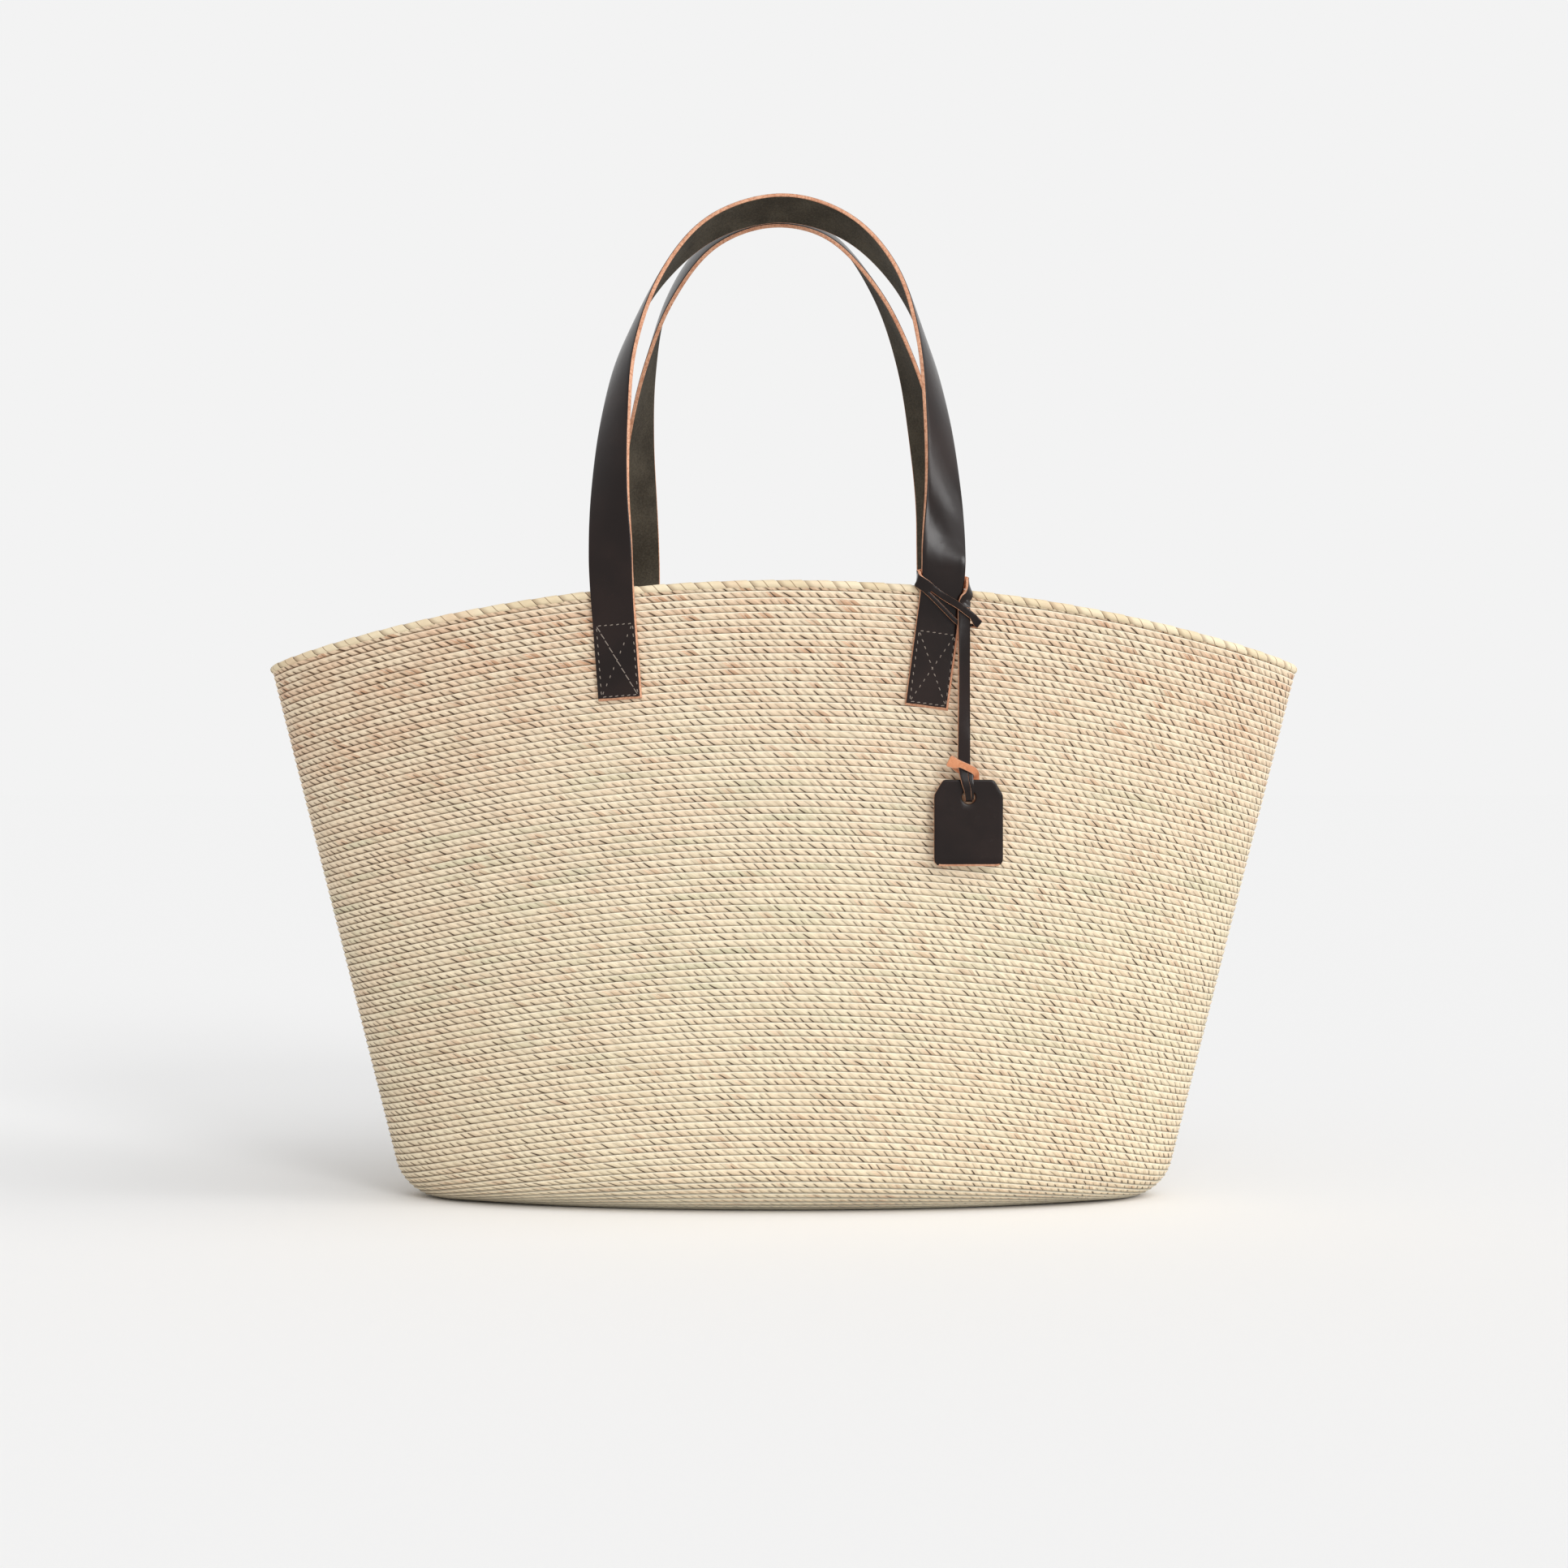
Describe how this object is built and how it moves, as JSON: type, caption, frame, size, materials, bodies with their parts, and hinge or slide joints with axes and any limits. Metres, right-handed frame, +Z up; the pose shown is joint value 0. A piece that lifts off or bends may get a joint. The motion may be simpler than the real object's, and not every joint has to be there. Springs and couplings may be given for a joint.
{
  "type": "straw tote bag",
  "caption": "Wide oval basket sewn from palm braid, with twisted leather strap handles and a leather tag hung on a lace locked through its own slits.",
  "frame": {"origin": "on the ground under the middle of the oval base", "axes": "+X to the right along the bag's length, +Z up, and the front, with the lace and tag, faces -Y"},
  "size_m": [0.6068, 0.1823, 0.5889],
  "materials": {
    "straw": "dry matte palm straw, warm cream with tan and greenish strands",
    "straw_rim": "smooth pale straw wrapping",
    "leather": "near-black smooth grain with a soft gloss, tan cut edges",
    "leather_flesh": "dark grey-green suede side",
    "thread": "grey-beige waxed thread"
  },
  "bodies": {
    "bag": {"base_coil": "straw", "side_wall": "straw", "rim_row": "straw_rim", "front_left_strap_end": "leather", "front_left_seam_thread": "thread", "front_left_inner_patch": "leather_flesh", "front_right_strap_end": "leather", "front_right_seam_thread": "thread", "front_right_inner_patch": "leather_flesh", "back_left_strap_end": "leather", "back_left_seam_thread": "thread", "back_left_inner_patch": "leather_flesh", "back_right_strap_end": "leather", "back_right_seam_thread": "thread", "back_right_inner_patch": "leather_flesh", "lace_knot": "leather"},
    "front_loop": {"front_handle": "leather"},
    "back_loop": {"back_handle": "leather"},
    "lace": {"lace_strip": "leather"},
    "tag": {"lace_loop": "leather", "hang_tag": "leather"}
  },
  "joints": [
    {"name": "front_handle_fold", "type": "hinge", "parent": "bag", "child": "front_loop", "pos_m": [0, -0.089, 0.371], "axis": [1, 0, 0], "range_deg": [0, 140]},
    {"name": "back_handle_fold", "type": "hinge", "parent": "bag", "child": "back_loop", "pos_m": [0, 0.089, 0.371], "axis": [-1, 0, 0], "range_deg": [0, 140]},
    {"name": "lace_swing", "type": "hinge", "parent": "bag", "child": "lace", "pos_m": [0.10085, -0.08985, 0.33833], "axis": [0.0874, -0.9962, 0], "range_deg": [-11, 11]},
    {"name": "tag_lift", "type": "hinge", "parent": "lace", "child": "tag", "pos_m": [0.10092, -0.09075, 0.26183], "axis": [-0.9962, -0.0874, 0], "range_deg": [0, 110]}
  ]
}
